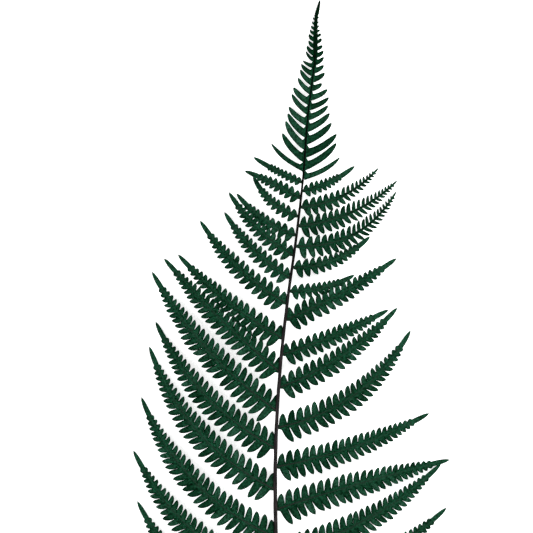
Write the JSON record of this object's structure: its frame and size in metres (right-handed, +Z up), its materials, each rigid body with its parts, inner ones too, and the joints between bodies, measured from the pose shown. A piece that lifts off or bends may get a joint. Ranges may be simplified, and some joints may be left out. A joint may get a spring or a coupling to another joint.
{
  "type": "bracken frond",
  "caption": "Cut, dried bracken fern frond lying flat: a slender bare-footed stalk carries a long pointed blade of side branches combed into small leaflets.",
  "frame": {"origin": "on the surface that the frond lies on, under the stalk, where the leafy blade begins", "axes": "+Y along the stalk towards the frond's tip, +X to the right seen from above, +Z up"},
  "size_m": [0.2373, 0.608, 0.0166],
  "materials": {
    "leaf_green": "matt, dried and dyed leaf",
    "stalk_brown": "satin, dried stalk and ribs"
  },
  "bodies": {
    "root": {"frond": "leaf_green"}
  },
  "joints": []
}
